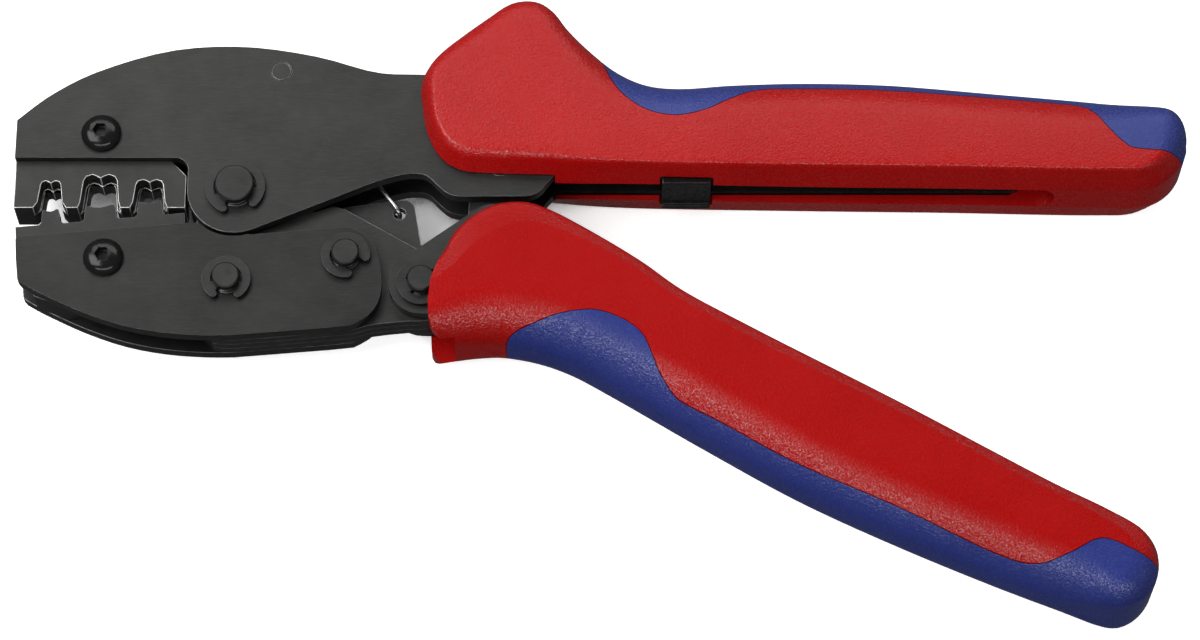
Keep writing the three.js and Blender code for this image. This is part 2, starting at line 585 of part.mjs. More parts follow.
const upperHollow = [
  plate(grown(frameOutline, GRIP_GAP), -HOLLOW, HOLLOW),
  plate([[30, -5], [60.3, -5], [60.3, 6], [41, 8], [41, 24.5], [30, 24.5]], -HOLLOW, HOLLOW),
  spine([[60, -4], [153.5, -4], [155, -1.5], [155, 6], [60, 6]]),
  plate([[80.1, -4], [90.2, -4], [90.2, 5], [80.1, 5]], -6.2, 6.2),
];
const lowerHollow = [
  plate(grown(leverOutline, GRIP_GAP), -HOLLOW, HOLLOW),
  plate([[30, -35], [41.7, -35], [41.7, -27], [45, -20], [50, -12], [64.5, -12.8], [67.5, -4],
    [62, 2], [30, 2]], -HOLLOW, HOLLOW),
  spine([[44, -14], alongHandle(66, 12), alongHandle(162, 12), alongHandle(162, 24), [66, 2],
    [44, 2]]),
  turned([[0, -8.8], [5.3, -8.8], [5.3, 8.8], [0, 8.8]], LEVER_PIVOT, 24),
];
const GRIP_POINTS = 72;
const GRIP_RINGS = 3;
function grip(prefix, controls, seam, hollow) {
  const whole = cut(moulded(controls, GRIP_POINTS, GRIP_RINGS), ...hollow);
  const reach = GRIP_HALF + 2;
  const insert = solid(whole).intersect(solid(plate(seam, -reach, reach)));
  const shell = solid(whole).subtract(solid(plate(grown(seam, 0.3), -reach, reach)));
  add(`${prefix}_grip_shell`, surface(shell), RED);
  add(`${prefix}_grip_insert`, surface(insert), BLUE);
}
grip('upper', upperGrip, upperSeam, upperHollow);
grip('lower', lowerGrip, lowerSeam, lowerHollow);

// ---------------------------------------------------------------- origin: middle of the underside
const box = new THREE.Box3().setFromObject(tool);
const middle = box.getCenter(new THREE.Vector3());
tool.position.set(-middle.x, -middle.y, -box.min.z);

export default tool;
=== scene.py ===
# The looks of a pair of ratcheting crimping pliers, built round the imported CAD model.
# Lengths that are drawn here are millimetres round the main pivot, in the tool's plane, and z is
# measured from the mid plane. place() turns them into the row frame's metres.
import math

import bpy
import numpy as np
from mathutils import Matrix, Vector
from mathutils.geometry import delaunay_2d_cdt


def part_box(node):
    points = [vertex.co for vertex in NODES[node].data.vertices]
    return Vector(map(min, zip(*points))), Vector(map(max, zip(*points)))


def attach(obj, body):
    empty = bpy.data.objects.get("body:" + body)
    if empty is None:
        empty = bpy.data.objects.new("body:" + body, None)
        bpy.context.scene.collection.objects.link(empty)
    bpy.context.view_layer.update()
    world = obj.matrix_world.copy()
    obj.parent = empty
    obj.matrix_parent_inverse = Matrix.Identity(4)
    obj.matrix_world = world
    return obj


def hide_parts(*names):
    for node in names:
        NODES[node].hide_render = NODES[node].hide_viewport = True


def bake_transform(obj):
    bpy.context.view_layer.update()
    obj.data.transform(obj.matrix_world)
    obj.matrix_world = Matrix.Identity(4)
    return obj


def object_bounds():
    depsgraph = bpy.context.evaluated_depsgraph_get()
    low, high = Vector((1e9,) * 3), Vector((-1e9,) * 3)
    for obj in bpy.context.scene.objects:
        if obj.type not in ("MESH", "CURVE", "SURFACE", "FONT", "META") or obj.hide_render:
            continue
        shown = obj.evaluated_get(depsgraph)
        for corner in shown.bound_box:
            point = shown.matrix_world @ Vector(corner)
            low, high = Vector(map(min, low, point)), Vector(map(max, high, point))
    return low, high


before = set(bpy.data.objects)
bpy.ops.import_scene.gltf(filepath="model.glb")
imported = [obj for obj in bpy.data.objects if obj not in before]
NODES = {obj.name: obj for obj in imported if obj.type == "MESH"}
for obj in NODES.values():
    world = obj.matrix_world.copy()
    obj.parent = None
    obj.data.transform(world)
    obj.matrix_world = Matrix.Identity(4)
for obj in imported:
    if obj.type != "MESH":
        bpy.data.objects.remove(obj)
CAD_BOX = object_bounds()

# ---------------------------------------------------------------- places and sizes
PIVOT = (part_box("main_pivot_pin")[0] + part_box("main_pivot_pin")[1]) / 2
MIDDLE = (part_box("frame_rear_plate")[0].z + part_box("frame_front_plate")[1].z) / 2
GRIP_HALF = 11.0
GRIP_CROWN = 0.16
HOLLOW = 5.85
SLOT_HALF = 3.6
PAST_GRIP = 13
BOX_MARGIN = 1e-5
HANDLE = math.radians(-28.4)
LEVER_PIVOT = (35.4, -19.5)
SPRING_POST = (7.9, 24.7)
SPRING_HOLE = (30.85, -3.2)


def place(x, y, z=0.0):
    return Vector((PIVOT.x + x / 1000, PIVOT.y + y / 1000, MIDDLE + z / 1000))


def along_handle(t, n):
    """A point of the lower handle: t along it and n across it, towards the upper handle."""
    c, s = math.cos(HANDLE), math.sin(HANDLE)
    return (t * c - n * s, t * s + n * c)


# ---------------------------------------------------------------- shader helpers
class Shader:
    """A material whose textures are measured in millimetres on the object itself."""

    def __init__(self, name, **values):
        self.material = bpy.data.materials.new(name)
        self.material.use_nodes = True
        self.tree = self.material.node_tree
        self.surface = self.tree.nodes["Principled BSDF"]
        for socket, value in values.items():
            self.surface.inputs[socket.replace("_", " ")].default_value = value
        self.coordinates = self.tree.nodes.new("ShaderNodeTexCoord")
        self.millimetres = self.scaled(self.coordinates.outputs["Object"], (1000, 1000, 1000))

    def link(self, output, target):
        self.tree.links.new(output, target)

    def scaled(self, vector, scale, turn=0.0):
        node = self.tree.nodes.new("ShaderNodeMapping")
        node.inputs["Scale"].default_value = scale
        node.inputs["Rotation"].default_value = (0, 0, turn)
        self.link(vector, node.inputs["Vector"])
        return node.outputs["Vector"]

    def noise(self, per_mm, detail=2.0, rough=0.5, vector=None):
        node = self.tree.nodes.new("ShaderNodeTexNoise")
        node.inputs["Scale"].default_value = per_mm
        node.inputs["Detail"].default_value = detail
        node.inputs["Roughness"].default_value = rough
        self.link(vector or self.millimetres, node.inputs["Vector"])
        return node.outputs["Fac"]

    def ramp(self, fac, stops):
        node = self.tree.nodes.new("ShaderNodeValToRGB")
        ramp = node.color_ramp
        while len(ramp.elements) < len(stops):
            ramp.elements.new(0.5)
        for element, (position, colour) in zip(ramp.elements, stops):
            element.position = position
            element.color = (*colour, 1)
        self.link(fac, node.inputs["Fac"])
        return node.outputs["Color"]

    def levels(self, fac, low, high, to_low, to_high):
        node = self.tree.nodes.new("ShaderNodeMapRange")
        node.inputs["From Min"].default_value = low
        node.inputs["From Max"].default_value = high
        node.inputs["To Min"].default_value = to_low
        node.inputs["To Max"].default_value = to_high
        self.link(fac, node.inputs["Value"])
        return node.outputs["Result"]

    def mix(self, fac, a, b, kind="MIX"):
        node = self.tree.nodes.new("ShaderNodeMix")
        node.data_type = "RGBA"
        node.blend_type = kind
        for value, socket in ((fac, node.inputs[0]), (a, node.inputs[6]), (b, node.inputs[7])):
            if isinstance(value, bpy.types.NodeSocket):
                self.link(value, socket)
            elif isinstance(value, (int, float)):
                socket.default_value = value
            else:
                socket.default_value = (*value, 1)
        return node.outputs[2]

    def bump(self, height, depth_mm, strength=1.0, under=None):
        node = self.tree.nodes.new("ShaderNodeBump")
        node.inputs["Distance"].default_value = depth_mm / 1000
        node.inputs["Strength"].default_value = strength
        self.link(height, node.inputs["Height"])
        if under is not None:
            self.link(under, node.inputs["Normal"])
        return node.outputs["Normal"]

    def finish(self, colour=None, roughness=None, normal=None):
        for output, socket in ((colour, "Base Color"), (roughness, "Roughness"), (normal, "Normal")):
            if output is not None:
                self.link(output, self.surface.inputs[socket])
        return self.material


def steel(name, dark, light, rough, metallic=0.75, streak=0.35, turn=0.0):
    """Burnished steel: cloudy oxide, fine rolled grain along the tool, and pin-prick pits."""
    s = Shader(name, Metallic=metallic)
    cloud = s.noise(0.09, 4, 0.6)
    streaks = s.noise(1.0, 3, 0.6, s.scaled(s.millimetres, (0.5, 7, 1), turn))
    grain = s.noise(3.5, 2, 0.6)
    clouds = s.ramp(cloud, [(0.3, dark), (0.72, light)])
    worn = s.mix(s.levels(streaks, 0.45, 0.75, 0, streak), clouds, tuple(1.7 * c for c in light))
    pits = s.levels(grain, 0.28, 0.36, 0.55, 1)
    colour = s.mix(1.0, worn, s.mix(pits, (0.5, 0.5, 0.5), (1, 1, 1)), "MULTIPLY")
    roughness = s.levels(s.noise(0.35, 4, 0.65), 0.3, 0.7, rough - 0.07, rough + 0.09)
    fine = s.bump(grain, 0.006, 0.6)
    normal = s.bump(streaks, 0.006, 0.5, fine)
    return s.finish(colour, roughness, normal)


def worn_and_highlit_edge(name, bare_and_highlit, dull, rough=0.3, metallic=0.9, bright_below=None):
    """The edges of a steel piece, rubbed bright in patches with a painted edge highlight on top, or
    only up to a height in y.
    """
    s = Shader(name, Metallic=metallic)
    patches = s.noise(0.5, 5, 0.7)
    colour = s.ramp(patches, [(0.38, dull), (0.62, bare_and_highlit)])
    # Above that height the edge goes dark, so the bright colour, partly a painted highlight, stays
    # on the nests.
    if bright_below is not None:
        y = s.tree.nodes.new("ShaderNodeSeparateXYZ")
        s.link(s.millimetres, y.inputs[0])
        limit = place(0, bright_below).y * 1000
        above = s.levels(y.outputs["Y"], limit, limit + 1, 0, 1)
        colour = s.mix(above, colour, (0.07, 0.07, 0.07))
    roughness = s.levels(patches, 0.3, 0.7, rough + 0.12, rough)
    return s.finish(colour, roughness, s.bump(s.noise(2.5, 2), 0.01, 0.5))


def plastic(name, deep, bright, rough, grain_mm, depth_mm, scuff, gloss, face_gloss, wall_gloss):
    """Moulded plastic with a spark-eroded grain and faint handling marks.

    The rounded edges, which the hand polishes, have a gloss of their own with small glints in it.
    """
    s = Shader(name)
    way = s.tree.nodes.new("ShaderNodeSeparateXYZ")
    s.link(s.coordinates.outputs["Normal"], way.inputs[0])
    flat = s.tree.nodes.new("ShaderNodeMath")
    flat.operation = "ABSOLUTE"
    s.link(way.outputs["Z"], flat.inputs[0])
    polish = s.ramp(flat.outputs[0], [(0.3, (wall_gloss,) * 3), (0.55, (gloss,) * 3),
                                      (0.86, (gloss,) * 3), (0.99, (face_gloss,) * 3)])
    drift = s.noise(0.05, 3, 0.5)
    grain = s.noise(1 / grain_mm, 2, 0.55)
    rounded = s.levels(flat.outputs[0], 0.86, 0.98, 1, 0)
    glints = s.mix(rounded, (1, 1, 1), s.levels(grain, 0.42, 0.64, 0.3, 2.2))
    s.link(s.mix(1.0, polish, glints, "MULTIPLY"), s.surface.inputs["Specular IOR Level"])
    tone = s.mix(s.levels(drift, 0.3, 0.7, 0, 1), deep, bright)
    speck = s.levels(grain, 0.5, 0.78, 0, scuff)
    colour = s.mix(speck, tone, tuple(min(1, 1.25 * c + 0.02) for c in bright))
    smudge = s.noise(0.16, 4, 0.6)
    roughness = s.levels(smudge, 0.3, 0.72, rough - 0.05, rough + 0.08)
    swell = s.bump(s.noise(0.14, 2, 0.4), 0.25, 0.35)
    return s.finish(colour, roughness, s.bump(grain, depth_mm, 1.0, swell))


PLATE = steel("burnished_plate", (0.025, 0.025, 0.0245), (0.037, 0.037, 0.036), rough=0.40)
# The jaw plates are a darker copy of the frame plates' steel: painted shade on the lower part of the
# head.
SHADED_JAW_PLATE = steel("burnished_jaw_painted_shade", (0.019, 0.019, 0.0185), (0.029, 0.029, 0.028), rough=0.40)
# Edge colours are rubbed wear with a painted edge highlight on top.
PLATE_EDGE = worn_and_highlit_edge("plate_edge", (0.20, 0.20, 0.20), (0.085, 0.085, 0.085))
DIE = steel("die_steel", (0.028, 0.028, 0.0275), (0.042, 0.042, 0.041), rough=0.44, streak=0.2)
# The upper die's nest edges are near white below a height in y: bare wear together with a painted
# highlight.
NEST_WEAR_AND_HIGHLIGHT = worn_and_highlit_edge("nest_wear_and_highlight", (0.75, 0.74, 0.72), (0.40, 0.40, 0.39), rough=0.34,
                      metallic=0.35, bright_below=4.6)
PIN = steel("pin_steel", (0.026, 0.026, 0.0255), (0.040, 0.040, 0.039), rough=0.34, turn=0.8)
PIN_EDGE = worn_and_highlit_edge("pin_edge", (0.26, 0.26, 0.26), (0.12, 0.12, 0.12), rough=0.28)
CLIP_EDGE = worn_and_highlit_edge("clip_edge", (0.06, 0.06, 0.06), (0.03, 0.03, 0.03), rough=0.35)
SCREW = steel("screw_steel", (0.010, 0.010, 0.010), (0.018, 0.018, 0.018), rough=0.17,
              metallic=0.6)
WIRE = steel("spring_wire", (0.30, 0.30, 0.31), (0.48, 0.48, 0.49), rough=0.22, metallic=0.95)
RED = plastic("red_plastic", (0.38, 0.0035, 0.003), (0.42, 0.0055, 0.005), rough=0.28,
              grain_mm=0.4, depth_mm=0.13, scuff=0.2, gloss=0.5, face_gloss=0.25, wall_gloss=0.1)
BLUE = plastic("blue_rubber", (0.026, 0.040, 0.205), (0.034, 0.049, 0.235), rough=0.3,
               grain_mm=0.4, depth_mm=0.15, scuff=0.5, gloss=0.45, face_gloss=0.3, wall_gloss=0.2)
# The lower grip's red and blue are darker, duller copies of the upper grip's: painted shade for the
# dimmer light on the lower grip.
SHADED_LOWER_RED = plastic("lower_red_plastic_painted_shade", (0.34, 0.003, 0.0025), (0.375, 0.0045, 0.004), rough=0.2,
                    grain_mm=0.4, depth_mm=0.17, scuff=0.2, gloss=0.5, face_gloss=0.05,
                    wall_gloss=0.08)
SHADED_LOWER_BLUE = plastic("lower_blue_rubber_painted_shade", (0.020, 0.032, 0.180), (0.026, 0.039, 0.21), rough=0.2,
                     grain_mm=0.4, depth_mm=0.18, scuff=0.45, gloss=0.5, face_gloss=0.1,
                     wall_gloss=0.1)
BLACK = plastic("black_plastic", (0.003, 0.003, 0.003), (0.005, 0.005, 0.005), rough=0.25,
                grain_mm=0.3, depth_mm=0.03, scuff=0.02, gloss=0.3, face_gloss=0.3, wall_gloss=0.3)


# ---------------------------------------------------------------- CAD steel: merged, eased, shaded
def shading_group(angle):
    """Smooth shading, kept sharp where faces meet at more than an angle."""
    group = bpy.data.node_groups.new("shade_by_angle", "GeometryNodeTree")
    group.interface.new_socket("Geometry", in_out="INPUT", socket_type="NodeSocketGeometry")
    group.interface.new_socket("Geometry", in_out="OUTPUT", socket_type="NodeSocketGeometry")
    start = group.nodes.new("NodeGroupInput")
    end = group.nodes.new("NodeGroupOutput")
    faces = group.nodes.new("GeometryNodeSetShadeSmooth")
    edges = group.nodes.new("GeometryNodeSetShadeSmooth")
    edges.domain = "EDGE"
    fold = group.nodes.new("GeometryNodeInputMeshEdgeAngle")
    test = group.nodes.new("FunctionNodeCompare")
    test.data_type = "FLOAT"
    test.operation = "LESS_EQUAL"
    test.inputs[1].default_value = angle
    link = group.links.new
    link(start.outputs[0], faces.inputs["Geometry"])
    link(faces.outputs[0], edges.inputs["Geometry"])
    link(fold.outputs["Unsigned Angle"], test.inputs[0])
    link(test.outputs[0], edges.inputs["Shade Smooth"])
    link(edges.outputs[0], end.inputs[0])
    return group


SHADE = shading_group(math.radians(33))


def shade(piece, weighted=True):
    smooth = piece.modifiers.new("shading", "NODES")
    smooth.node_group = SHADE
    if weighted:
        weigh = piece.modifiers.new("weighted", "WEIGHTED_NORMAL")
        weigh.keep_sharp = True
        weigh.weight = 60


def ease(piece, width_mm, clamp):
    """Joins the facets of a flat face and gives its edges a small worn round."""
    weld = piece.modifiers.new("weld", "WELD")
    weld.merge_threshold = 2e-6
    flat = piece.modifiers.new("flat", "DECIMATE")
    flat.decimate_type = "DISSOLVE"
    flat.angle_limit = math.radians(0.6)
    bevel = piece.modifiers.new("eased_edges", "BEVEL")
    bevel.width = width_mm / 1000
    bevel.segments = 2
    bevel.limit_method = "ANGLE"
    bevel.angle_limit = math.radians(48)
    bevel.material = 1
    bevel.use_clamp_overlap = clamp
    shade(piece)


def dress(piece, face, edge):
    piece.data.materials.clear()
    piece.data.materials.append(face)
    piece.data.materials.append(edge)


REBUILT = ("upper_grip_shell", "upper_grip_insert", "lower_grip_shell", "lower_grip_insert",
           "return_spring", "pawl_spring")
# A node takes the first line whose words are in its name: face, edge, and edge width in mm.
FINISHES = [
    ("window_clip", BLACK, CLIP_EDGE, 0.3),
    ("upper_die_screw", SCREW, SCREW, 0.12),
    ("lower_die_screw", SCREW, SCREW, 0.12),
    ("upper_die", DIE, NEST_WEAR_AND_HIGHLIGHT, 0.13),
    ("lower_die", DIE, PLATE_EDGE, 0.08),
    ("toggle_link", DIE, PLATE_EDGE, 0.15),
    ("ratchet_pawl", DIE, PLATE_EDGE, 0.15),
    ("jaw_rear_plate", SHADED_JAW_PLATE, PLATE_EDGE, 0.22),
    ("jaw_front_plate", SHADED_JAW_PLATE, PLATE_EDGE, 0.22),
    ("_plate", PLATE, PLATE_EDGE, 0.22),
    ("_core_", PLATE, PLATE_EDGE, 0.15),
    ("_clip", PIN, CLIP_EDGE, 0.12),
    ("", PIN, PIN_EDGE, 0.12),
]
for name, node in NODES.items():
    if name not in REBUILT:
        _, face, edge, width = next(f for f in FINISHES if f[0] in name)
        dress(node, face, edge)
        ease(node, width, clamp=edge is not NEST_WEAR_AND_HIGHLIGHT)


# ---------------------------------------------------------------- mesh helpers
def piece(name, vertices, faces, materials):
    mesh = bpy.data.meshes.new(name)
    mesh.from_pydata([tuple(v) for v in vertices], [], faces)
    mesh.validate()
    made = bpy.data.objects.new(name, mesh)
    bpy.context.scene.collection.objects.link(made)
    for finish in materials:
        mesh.materials.append(finish)
    return made


def settle(made, body, stands_for):
    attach(made, body)
    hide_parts(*stands_for)


def prism(outline, z0, z1):
    """A flat solid between two heights. The outline runs anticlockwise."""
    n = len(outline)
    vertices = [place(x, y, z0) for x, y in outline] + [place(x, y, z1) for x, y in outline]
    faces = [tuple(range(n - 1, -1, -1)), tuple(range(n, 2 * n))]
    faces += [(i, (i + 1) % n, (i + 1) % n + n, i + n) for i in range(n)]
    return vertices, faces


def sideways_slot(x0, x1, half, y0, y1, corner):
    """A slot seen from the tool's inner side: a rounded oblong in x and z, cut along y."""
    outline = []
    for cx, cz, start in ((x1 - corner, half - corner, 0), (x0 + corner, half - corner, 90),
                          (x0 + corner, corner - half, 180), (x1 - corner, corner - half, 270)):
        for k in range(9):
            a = math.radians(start + 90 * k / 8)
            outline.append((cx + corner * math.cos(a), cz + corner * math.sin(a)))
    n = len(outline)
    vertices = [place(x, y0, z) for x, z in outline] + [place(x, y1, z) for x, z in outline]
    faces = [tuple(range(n)), tuple(range(2 * n - 1, n - 1, -1))]
    faces += [((i + 1) % n, i, i + n, (i + 1) % n + n) for i in range(n)]
    return vertices, faces


def boolean(made, operation, cutter):
    """Cuts, joins or keeps the overlap with another closed solid, at once."""
    other = piece("cutter", *cutter, [])
    change = made.modifiers.new("boolean", "BOOLEAN")
    change.operation = operation
    change.solver = "MANIFOLD"
    change.object = other
    view = bpy.context.evaluated_depsgraph_get()
    view.update()
    mesh = bpy.data.meshes.new_from_object(made.evaluated_get(view))
    made.modifiers.remove(change)
    made.data = mesh
    bpy.data.objects.remove(other)
    return made


def smooth_line(points, steps):
    """A Catmull-Rom line through a few points."""
    p = np.array([points[0], *points, points[-1]], float)
    out = []
    for k in range(steps + 1):
        t = (len(points) - 1) * k / steps
        i = min(int(t), len(points) - 2)
        u = t - i
        a, b, c, d = p[i:i + 4]
        out.append(tuple(0.5 * (2 * b + (c - a) * u + (2 * a - 5 * b + 4 * c - d) * u * u
                                + (3 * b - a - 3 * c + d) * u ** 3)))
    return out


def closed_curve(controls, count):
    """Evenly spaced points on a closed centripetal curve."""
    p = np.array(controls, float)
    n = len(p)
    fine = []
    for i in range(n):
        a, b, c, d = (p[(i + k) % n] for k in (-1, 0, 1, 2))
        ab, bc, cd = (np.sqrt(np.linalg.norm(v)) for v in (b - a, c - b, d - c))
        m = ((b - a) / ab - (c - a) / (ab + bc) + (c - b) / bc) * bc
        w = ((c - b) / bc - (d - b) / (bc + cd) + (d - c) / cd) * bc
        for u in np.linspace(0, 1, 30, endpoint=False):
            fine.append(b + m * u + (3 * (c - b) - 2 * m - w) * u ** 2
                        + (2 * (b - c) + m + w) * u ** 3)
    fine = np.array([*fine, fine[0]])
    length = np.concatenate([[0], np.cumsum(np.linalg.norm(np.diff(fine, axis=0), axis=1))])
    at = np.linspace(0, length[-1], count, endpoint=False)
    return np.stack([np.interp(at, length, fine[:, k]) for k in range(3)], axis=1)


def inside(points, outline):
    """Which points lie inside a closed outline."""
    result = np.zeros(len(points), bool)
    x, y = points[:, 0], points[:, 1]
    for (x0, y0), (x1, y1) in zip(outline, np.roll(outline, -1, axis=0)):
        crosses = (y0 > y) != (y1 > y)
        with np.errstate(divide="ignore", invalid="ignore"):
            result ^= crosses & (x < (x1 - x0) * (y - y0) / (y1 - y0) + x0)
    return result


def distance(points, outline):
    """How far points are from a closed outline."""
    a, b = outline, np.roll(outline, -1, axis=0)
    best = np.full(len(points), 1e9)
    for p, q in zip(a, b):
        d = q - p
        t = np.clip(((points - p) @ d) / (d @ d), 0, 1)
        best = np.minimum(best, np.linalg.norm(points - p - t[:, None] * d, axis=1))
    return best


# ---------------------------------------------------------------- grips
# A grip's outline. The third number is how far its rounded edge reaches in, and the fourth says
# how much that edge is a straight wall with a tight corner (1) rather than a full round (0).
# The lower grip's outline runs on past its front, which the first of its cuts takes off square.
UPPER_GRIP = [
    (36.2, 8.9, 3.5, 1), (38.1, 5.7, 3.6, 1), (40.3, 3.8, 4, 1), (43, 2.6, 4.2, 1),
    (47, 2.2, 4, 1), (54, 2.05, 3.8, 1), (60, 2, 3.2, 1), (66, 1.9, 2.4, 1), (74, 1.85, 1.8, 1),
    (107, 1.2, 1.8, 1), (134, 0.85, 1.8, 1), (165, 0.3, 1.8, 1), (171.2, 0.3, 2.2, 1),
    (175, 1.5, 3.5, 0.8), (178.1, 4.2, 5, 0.5), (179.8, 7.3, 6, 0.3), (180.1, 10.4, 6, 0.1),
    (179.3, 13.2, 6, 0), (177.5, 15.3, 6, 0), (173.6, 16.6, 7, 0), (161.8, 18.8, 9, 0),
    (143.9, 20.75, 9.5, 0), (123.6, 22.6, 9.5, 0), (107, 23, 9.5, 0), (93.9, 22.6, 9.5, 0),
    (84, 21.9, 9.5, 0), (78, 22.5, 9.5, 0), (72.5, 24.7, 8.5, 0), (67, 28.7, 6.5, 0),
    (62.7, 32.8, 5, 0), (60, 36.2, 4, 0), (57.3, 38, 3.6, 0), (54.5, 38.4, 3.6, 0),
    (51.5, 37.8, 3.8, 0), (47, 34.8, 4.5, 0), (42.7, 31.4, 4.5, 0), (38.2, 27.4, 4, 0.1),
    (35.8, 24.4, 3.5, 0.3), (34.7, 21.2, 3.2, 0.5), (34.6, 17.5, 3.2, 0.8), (34.9, 13.2, 3.2, 1),
]
LOWER_GRIP = [
    (30, -29.6, 4, 0), (33, -31, 6, 0), (38.7, -31.1, 8, 0), (42.5, -31, 8.5, 0),
    (46.2, -30.8, 8.5, 0), (50, -30.7, 8.5, 0), (53.7, -31.3, 9, 0), (58.6, -32.7, 9.5, 0),
    (63.6, -34.8, 9.5, 0),
    (71, -39.1, 9.5, 0), (88, -49.6, 9.5, 0), (105.5, -59.9, 9.5, 0), (124.1, -69, 9.5, 0),
    (142.6, -77.1, 9.5, 0), (151.8, -80.6, 9, 0), (159.3, -82.8, 7.5, 0), (163.4, -83.3, 6.5, 0),
    (166.8, -81.9, 6.5, 0), (169.2, -79, 6.5, 0), (170.1, -75.6, 6, 0.2), (169.4, -72.3, 5, 0.5),
    (167, -69.2, 3.5, 0.9), (160.8, -65.4, 2.6, 1), (151.8, -60.7, 2.4, 1),
    (124.4, -44.9, 2.6, 1), (96.3, -29.3, 2.7, 1), (84, -22.1, 2.5, 1), (76.6, -16.4, 2.5, 1),
    (66.6, -9.8, 3, 1), (59.6, -5.7, 4.2, 1), (55.5, -4.1, 5.2, 1), (51.4, -3.95, 6, 1),
    (48, -4.8, 6.2, 1), (44.5, -7, 6, 1), (41.4, -10.3, 5.2, 1), (39.3, -14.5, 4.2, 1),
    (36.8, -17.6, 3.2, 1), (33.5, -19.6, 2.5, 0.6), (30.5, -21.5, 2.5, 0.2), (29, -24, 2.5, 0),
    (29, -27, 3, 0),
]
# Straight-walled edges as (share of the reach inwards, millimetres down from the face).
UPPER_WALL = [(0, 7.2), (0.3, 4.2), (0.52, 2), (0.62, 1.1), (0.74, 0.5), (0.87, 0.12), (1, 0)]
LOWER_WALL = [(0, 4.5), (0.03, 2.6), (0.1, 1.6), (0.22, 1.05), (0.42, 0.72), (0.97, 0.03), (1, 0)]
UPPER_SEAM = [*smooth_line([
    (68.8, 27.5), (71, 21), (74, 16.8), (78.3, 13.9), (83.5, 13), (88.9, 14.3), (93.2, 16.6),
    (98.6, 19), (106.7, 19.3), (123.2, 19), (143.5, 17.5), (158.2, 16), (162.1, 14),
    (164.6, 10.5), (167.4, 7.3), (170.5, 5.9), (183, 5.5)], 150), (190, 5.5), (190, 45), (66, 45)]
LOWER_SEAM = [*smooth_line([
    (49.6, -36), (50.4, -32.2), (52.4, -30.2), (57.1, -28.7), (60.6, -27.7), (65, -27.1),
    (68.8, -27.3), (73.2, -29.1), (76.5, -31.9), (78.4, -36), (79.8, -39.3), (82.6, -43.3),
    (86, -45.6), (91, -48.4), (105.2, -56.7), (123.6, -65.4), (139.4, -73.3), (147.6, -76),
    (153.7, -74.5), (159.5, -72), (166.1, -74.7), (174, -79)], 200),
    (180, -100), (46, -100)][::-1]
SEAM_GAP = 0.16
RIM_POINTS = 460
RIM_RINGS = 12
SHARE_WEIGHT = 20
GRID_X = 1.8
GRID_Y = 1.6
GRID_CLEAR = 1.1
CROWN_RUN = 3.5


def grown(outline, reach):
    """An outline moved outwards by a small reach."""
    p = np.array(outline, float)
    before = p - np.roll(p, 1, axis=0)
    after = np.roll(p, -1, axis=0) - p
    before /= np.linalg.norm(before, axis=1)[:, None]
    after /= np.linalg.norm(after, axis=1)[:, None]
    normal = np.stack([before[:, 1] + after[:, 1], -before[:, 0] - after[:, 0]], axis=1)
    normal /= np.linalg.norm(normal, axis=1)[:, None]
    facing = normal[:, 0] * before[:, 1] - normal[:, 1] * before[:, 0]
    return [tuple(q) for q in p + normal * (reach / np.maximum(0.5, facing))[:, None]]


def tight_corners_eased(rim, inward):
    """The rim's reach, kept under its own radius of bend so that no inner ring crosses itself."""
    after = np.roll(rim[:, :2], -1, axis=0) - rim[:, :2]
    before = rim[:, :2] - np.roll(rim[:, :2], 1, axis=0)
    step = np.linalg.norm(after, axis=1)
    bend = ((after - before) * inward).sum(axis=1) / step ** 2
    reach = np.minimum(rim[:, 2], 0.8 / np.maximum(bend, 1e-3))
    for _ in range(30):
        nearby = np.minimum(np.roll(reach, 1), np.roll(reach, -1))
        reach = np.minimum(reach, nearby + 0.45 * step)
    return sum(np.roll(reach, k) for k in range(-5, 6)) / 11


def wall_share(controls, rim):
    """How much of a straight wall each point of the rim has, from the controls around it."""
    straight = closed_curve([(c[0], c[1], SHARE_WEIGHT * c[3]) for c in controls], RIM_POINTS)
    nearest = np.argmin(np.linalg.norm(rim[:, None, :2] - straight[None, :, :2], axis=2), axis=1)
    return np.clip(straight[nearest, 2] / SHARE_WEIGHT, 0, 1)


def rim_layers(controls, wall, crown):
    """Rings from low on the edge up to the face, each of them further in than the last."""
    rim = closed_curve([c[:3] for c in controls], RIM_POINTS)
    share = wall_share(controls, rim)
    tangent = np.roll(rim[:, :2], -1, axis=0) - np.roll(rim[:, :2], 1, axis=0)
    tangent /= np.linalg.norm(tangent, axis=1)[:, None]
    inward = np.stack([-tangent[:, 1], tangent[:, 0]], axis=1)
    reach = tight_corners_eased(rim, inward)
    wall_in, wall_down = np.array(wall).T
    at = np.linspace(0, 1, len(wall))
    layers = []
    for k in range(RIM_RINGS + 1):
        s = k / RIM_RINGS
        round_in, round_down = 1 - math.cos(s * math.pi / 2), 1 - math.sin(s * math.pi / 2)
        inset = (1 - share) * round_in + share * np.interp(s, at, wall_in)
        down = (1 - share) * reach * round_down + share * np.interp(s, at, wall_down)
        flat = rim[:, :2] + inward * (reach * inset)[:, None]
        layers.append(np.column_stack([flat, GRIP_HALF - crown - down]))
    return layers


def cap(ring):
    """Points spread inside a ring, and triangles that number the ring's points before them."""
    grid = np.array([(x + (GRID_X / 2 if round(y / GRID_Y) % 2 else 0), y)
                     for x in np.arange(30, 185, GRID_X) for y in np.arange(-90, 45, GRID_Y)])
    grid = grid[inside(grid, ring)]
    grid = grid[distance(grid, ring) > GRID_CLEAR]
    n = len(ring)
    _, _, triangles, origin, _, _ = delaunay_2d_cdt(
        [Vector(p) for p in np.concatenate([ring, grid])],
        [(i, (i + 1) % n) for i in range(n)], [], 1, 1e-6)
    return grid, [tuple(origin[v][0] for v in triangle) for triangle in triangles]


